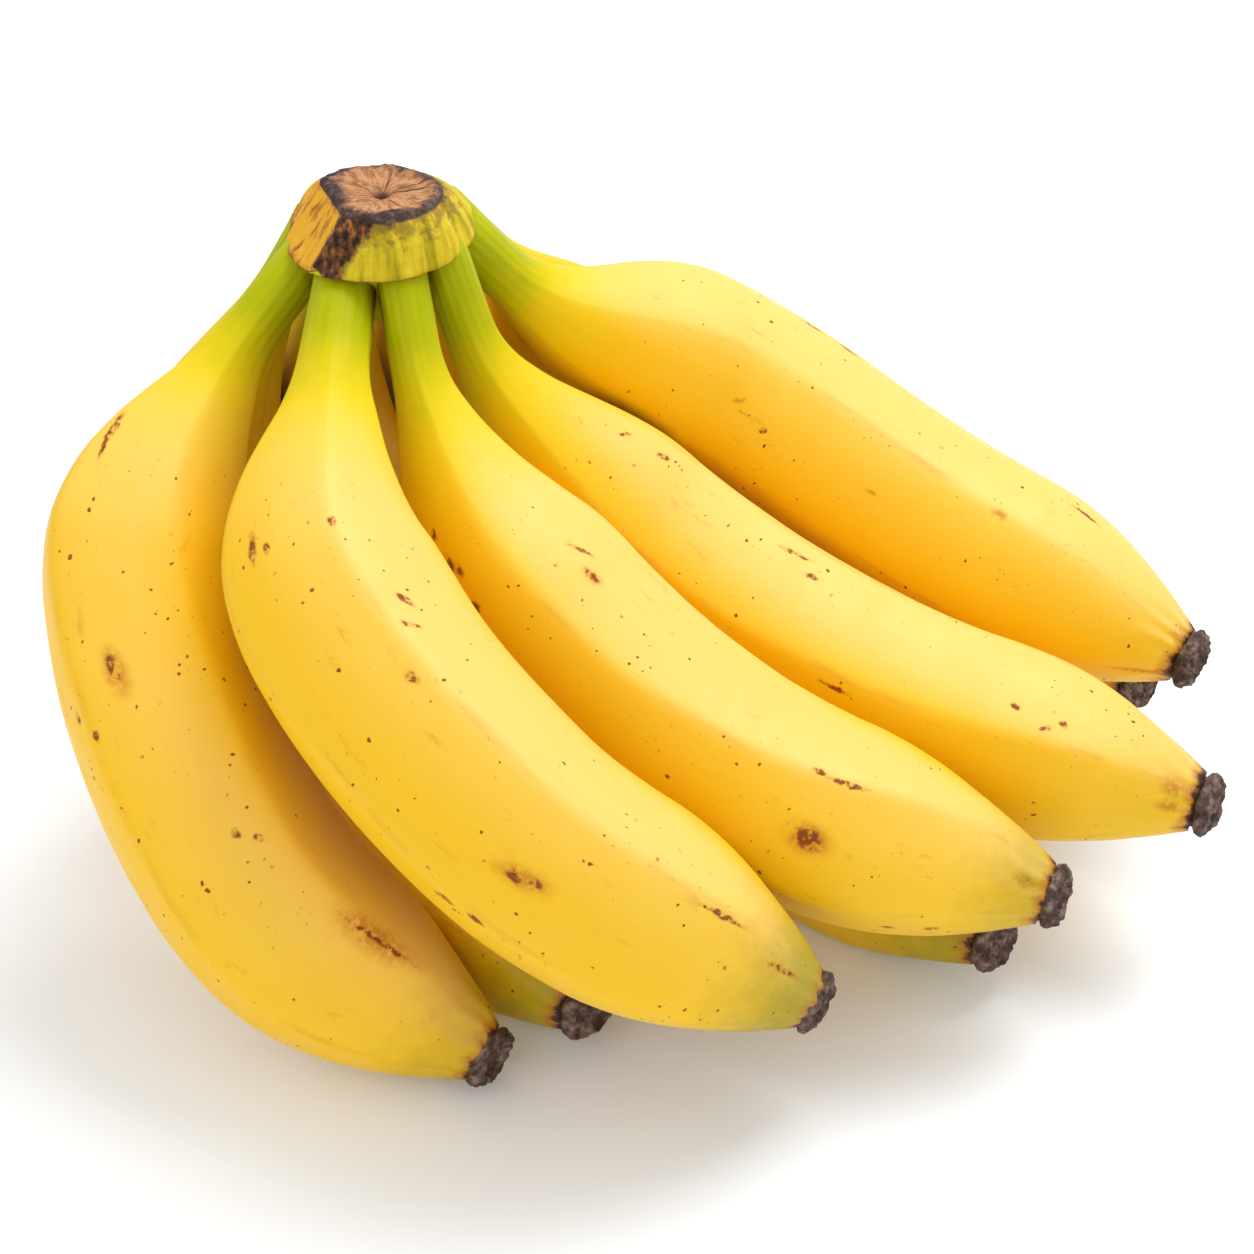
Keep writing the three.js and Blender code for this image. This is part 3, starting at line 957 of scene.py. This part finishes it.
@dataclass
class Crown:
    """The cut crown that carries every stem. Millimetres; facet directions as on the solid."""

    node: str = "crown"
    facet: tuple[float, float, float] = (-0.83, 0.0, 0.55)
    second_facet: tuple[float, float, float] = (-0.76, -0.3, 0.58)
    stripe: tuple[float, float, float] = (-0.3, -0.83, 0.46)
    band_height: float = 11.4
    top_radius: float = 11.7
    voxel: float = 0.42

    def build(self, finish: CrownFinish) -> bpy.types.Object:
        """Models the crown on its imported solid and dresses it.

        Args:
            finish: The crown's colours.

        Returns:
            The finished piece.
        """
        piece = self._filled()
        points = places(piece.data) / MM
        cuts = self._cuts(points)
        turn, radius = self._turn(points)
        edges = self._edges(points, cuts, radius)
        keep(piece.data, "place", points)
        keep(piece.data, "cuts", cuts)
        keep(piece.data, "turn", turn)
        keep(piece.data, "edges", edges)
        move_to(piece.data, self._rough(points, cuts, turn, edges) * MM)
        piece.data.materials.append(finish.material())
        join_bunch(piece, self.node)
        return piece

    def _filled(self) -> bpy.types.Object:
        """Closes the stems' sockets and lays an even fine mesh over the solid.

        Returns:
            The new object.
        """
        shape = bmesh.new()
        shape.from_mesh(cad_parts[self.node].data)
        bmesh.ops.remove_doubles(shape, verts=shape.verts, dist=1e-6)
        hull = bmesh.ops.convex_hull(shape, input=shape.verts)
        kept = {part for part in hull["geom"] if isinstance(part, bmesh.types.BMFace)}
        bmesh.ops.delete(shape, geom=[face for face in shape.faces if face not in kept], context="FACES")
        loose = [vert for vert in shape.verts if not vert.link_faces]
        bmesh.ops.delete(shape, geom=loose, context="VERTS")
        bmesh.ops.recalc_face_normals(shape, faces=shape.faces)
        piece = placed(shape, f"{self.node}_cut")
        even = piece.modifiers.new("even", "REMESH")
        even.mode = "VOXEL"
        even.voxel_size = self.voxel * MM
        even.use_smooth_shade = True
        evaluated = piece.evaluated_get(bpy.context.evaluated_depsgraph_get())
        piece.data = bpy.data.meshes.new_from_object(evaluated)
        piece.modifiers.clear()
        return piece

    def _cuts(self, points: np.ndarray) -> np.ndarray:
        """Distance of every vertex from the cut top, the left facets and the stripe facet."""
        top = points[:, 2].max() - points[:, 2]
        facets = [self._below(points, direction) for direction in (self.facet, self.second_facet)]
        return np.stack([top, np.minimum(*facets), self._below(points, self.stripe)], axis=1)

    @staticmethod
    def _below(points: np.ndarray, direction: tuple[float, float, float]) -> np.ndarray:
        """Depth of every vertex under the plane that touches the crown from that direction."""
        reach = points @ (np.array(direction) / np.linalg.norm(direction))
        return reach.max() - reach

    @staticmethod
    def _turn(points: np.ndarray) -> tuple[np.ndarray, np.ndarray]:
        """Place round the crown, for streaks that run down the band and fibres that run outwards.

        Args:
            points: Vertex rows in millimetres.

        Returns:
            Rows that change slowly from the top's middle to the foot, and the distance from it.
        """
        middle = points[points[:, 2] > points[:, 2].max() - 0.6].mean(axis=0)
        flat = points[:, :2] - middle[:2]
        radius = np.linalg.norm(flat, axis=1)
        unit = flat / np.maximum(radius, 1e-3)[:, None]
        return np.column_stack([14 * unit, radius - points[:, 2]]), radius

    def _edges(self, points: np.ndarray, cuts: np.ndarray, radius: np.ndarray) -> np.ndarray:
        """Distances from the top's outline, below the band's lip and from the middle of the top.

        Args:
            points: Vertex rows in millimetres.
            cuts: Distances from the cuts.
            radius: Distance from the middle of the top.

        Returns:
            One row of three distances for each vertex.
        """
        outline = np.minimum.reduce([self.top_radius - radius, cuts[:, 1], cuts[:, 2]])
        torn = smoothstep(cuts[:, 1], 2.5, 0.5) * (1.6 + 1.4 * lumps(points, 5.5, 2.0))
        lip = cuts[:, 0] - self.band_height - torn
        return np.stack([outline, lip, radius], axis=1)

    def _rough(
        self, points: np.ndarray, cuts: np.ndarray, turn: np.ndarray, edges: np.ndarray
    ) -> np.ndarray:
        """Roughens the knife cuts, hollows the top, flares the lip and presses streaks into the band.

        Args:
            points: Vertex rows in millimetres.
            cuts: Distances from the cuts.
            turn: Places round the crown.
            edges: Distances from the outline, the lip and the middle.

        Returns:
            The moved rows.
        """
        middle = points.mean(axis=0)
        outward = points - middle
        outward[:, 2] = 0
        outward /= np.maximum(np.linalg.norm(outward, axis=1), 1e-3)[:, None]
        coarse = lumps(points, 5.0, 3.0)
        fine = lumps(points, 1.3, 6.0)
        streaks = lumps(turn * np.array([1.0, 1.0, 0.1]), 2.4, 9.0)
        lip = edges[:, 1]
        side = smoothstep(cuts[:, 0], 0.6, 2.0)
        undercut = 2.6 * smoothstep(lip, -0.2, 0.5) * smoothstep(lip, 9.0, 3.0)
        flare = 0.9 * smoothstep(lip, -3.5, -0.2) - undercut
        push = side * (0.3 * coarse + 0.12 * fine + 0.25 * streaks - 0.2 + flare)
        moved = points + outward * push[:, None]
        on_top = smoothstep(cuts[:, 0], 1.6, 0.6)
        fibres = lumps(turn * np.array([1.0, 1.0, 0.3]), 1.5, 12.0)
        pit = -1.4 * np.exp(-((edges[:, 2] / 2.2) ** 2))
        bank = 0.7 * smoothstep(edges[:, 0], 4.0, 1.0)
        moved[:, 2] += on_top * (0.3 * fibres + 0.25 * fine + 0.4 * coarse + pit + bank - 0.9)
        return moved


@dataclass
class Studio:
    """Pale floor, soft overhead light and the photograph's camera. Metres, degrees and watts."""

    target: tuple[float, float, float] = (-0.0040, -0.0289, 0.0700)
    distance: float = 0.470
    elevation: float = 35.0
    lens: float = 70.0
    sensor: float = 36.0
    floor_size: float = 6.0

    def build(self) -> None:
        """Sets up floor, light, colour handling and camera."""
        self._floor()
        self._world()
        self._light("key", (0.30, 0.30, 0.95), 0.62, 7.2)
        self._light("fill", (-0.7, -0.8, 0.8), 0.8, 1.8)
        self._camera()
        settings = bpy.context.scene.view_settings
        settings.view_transform = "Standard"
        settings.look = "None"
        settings.exposure = 0.0

    def _floor(self) -> None:
        """Lays a wide white floor under the bunch."""
        shape = bmesh.new()
        bmesh.ops.create_grid(shape, x_segments=2, y_segments=2, size=self.floor_size / 2)
        floor = placed(shape, "floor")
        recipe = Recipe("white_floor")
        floor.data.materials.append(recipe.finish({
            "Base Color": (0.89, 0.93, 0.98, 1.0),
            "Roughness": 0.9,
            "Emission Color": (0.86, 0.94, 1.0, 1.0),
            "Emission Strength": 0.06,
        }))

    @staticmethod
    def _world() -> None:
        """Fills the room with even white light."""
        world = bpy.data.worlds.new("room")
        world.use_nodes = True
        background = world.node_tree.nodes["Background"]
        background.inputs["Color"].default_value = (1.0, 1.0, 1.0, 1.0)
        background.inputs["Strength"].default_value = 0.82
        bpy.context.scene.world = world

    def _light(self, name: str, place: tuple[float, float, float], size: float, power: float) -> None:
        """Hangs one soft square light that faces the bunch."""
        data = bpy.data.lights.new(name, "AREA")
        data.size = size
        data.energy = power
        lamp = bpy.data.objects.new(name, data)
        lamp.location = place
        lamp.rotation_euler = (Vector((0, 0, 0.06)) - Vector(place)).to_track_quat("-Z", "Y").to_euler()
        bpy.context.scene.collection.objects.link(lamp)

    def _camera(self) -> None:
        """Places the camera where the photograph was taken."""
        data = bpy.data.cameras.new("camera")
        data.lens = self.lens
        data.sensor_width = self.sensor
        data.clip_start = 0.01
        camera = bpy.data.objects.new("camera", data)
        tilt = math.radians(self.elevation)
        back = Vector((0, -math.cos(tilt), math.sin(tilt)))
        camera.location = Vector(self.target) + self.distance * back
        camera.rotation_euler = (-back).to_track_quat("-Z", "Y").to_euler()
        bpy.context.scene.collection.objects.link(camera)
        bpy.context.scene.camera = camera


def fingers() -> list[Finger]:
    """Describes the nine fingers.

    Returns:
        The upper row from left to right, then the lower row.
    """
    rub = MarkKind.RUB
    return [
        Finger("upper_finger_1", (-83, -57, -58), olive=0.4, tip_turn=0.65, marks=[
            Mark(49, -137, 7, 1.6, 20),
            Mark(52, -133, 5, 1.0, 25),
            Mark(91, -107, 9, 4.5, 8, rub),
            Mark(90, -108, 6, 1.8, 8),
            Mark(96, -137, 2.2, 1.4),
            Mark(100, -127, 2.0, 1.4),
            Mark(126, -80, 1.8, 1.4),
            Mark(129, -71, 2.2, 1.2, 30),
            Mark(159, -61, 18, 6, 6, rub),
            Mark(160, -61, 16, 1.0, 6),
        ]),
        Finger("upper_finger_2", (-113, -98, -88), olive=0.8, olive_reach=28, tip_turn=0.85, marks=[
            Mark(60, -154, 4.5, 1.6),
            Mark(61, -144, 1.8, 1.4),
            Mark(60, -105, 1.8, 1.4),
            Mark(79, -85, 4, 1.6, 30),
            Mark(84, -91, 4, 1.0, 50),
            Mark(92, -107, 2.6, 1.8, 30),
            Mark(125, -136, 9, 4, 20, rub),
            Mark(124, -138, 2.6, 2.0),
            Mark(127, -134, 2.4, 1.8),
            Mark(119, -176, 3.4, 1.6, 30),
            Mark(124, -170, 3.0, 1.6),
            Mark(156, -95, 9, 1.2, 4),
            Mark(173, -103, 8, 1.2, 4),
        ]),
        Finger("upper_finger_3", (-85, -75, -42), olive=0.45, tip_turn=0.6, marks=[
            Mark(49, -120, 2.2, 1.4),
            Mark(55, -116, 3.4, 2.4),
            Mark(57, -110, 2.6, 1.6),
            Mark(64, -112, 2.4, 1.6),
            Mark(68, -40, 6, 1.0, 25),
            Mark(74, -46, 5, 2.4, 10, rub),
            Mark(74, -46, 4, 1.3, 10),
            Mark(137, -93, 9, 6, 0, rub),
            Mark(137, -93, 5.5, 4.5),
            Mark(134, -57, 3, 1.2),
            Mark(140, -57, 8, 1.0, 5),
            Mark(156, -142, 2.6, 1.4),
            Mark(164, -139, 2.6, 1.6),
            Mark(178, -72, 6, 3, 0, rub),
        ]),
        Finger("upper_finger_4", (-47, -50, -26), olive=0.15, marks=[
            Mark(54, 9, 3, 0.9, 30),
            Mark(65, 10, 4, 1.4, 10),
            Mark(106, 11, 8, 1.0, 10),
            Mark(112, 3, 3, 1.2, 10),
            Mark(128, -50, 6, 1.0, 5),
            Mark(163, -16, 2.0, 1.4),
            Mark(170, -23, 2.4, 1.2, 40),
            Mark(173, -15, 1.8, 1.4),
            Mark(196, -29, 6, 4, 0, rub),
            Mark(196, -55, 5, 2.5, 0, rub),
        ]),
        Finger("upper_finger_5", (-50, -47, -45), ridge_height=0.45, green_reach=40, olive=0.1, marks=[
            Mark(87, 81, 5, 1.3),
            Mark(95, 81, 6, 1.6),
            Mark(76, -5, 4, 1.4, 20, rub),
            Mark(88, -13, 2.0, 1.4),
            Mark(160, 68, 7, 1.2),
            Mark(145, 25, 4, 2, 0, rub),
            Mark(118, -6, 2.4, 1.2, 0, rub),
            Mark(185, -48, 12, 1.2, 0, rub),
        ]),
        Finger("lower_finger_1", (0, 0, 0), olive=0.7, olive_reach=26),
        Finger("lower_finger_2", (0, 0, 0), olive=0.8, olive_reach=30, stem_girth=1.5),
        Finger("lower_finger_3", (0, 0, 0), olive=0.4, stem_girth=1.5),
        Finger("lower_finger_4", (0, 0, 0), olive=0.5),
    ]


def main() -> None:
    """Builds the bunch piece by piece."""
    logging.basicConfig(level=logging.INFO, format="%(name)s: %(message)s")
    Studio().build()
    Crown().build(CrownFinish())
    peel = PeelFinish()
    husk = FlowerEndFinish().material()
    for index, finger in enumerate(fingers()):
        finger.build(peel)
        FlowerEnd(f"{finger.node}_tip", seed=3.0 * index, turn=finger.tip_turn).build(husk)


if __name__ == "__main__":
    main()
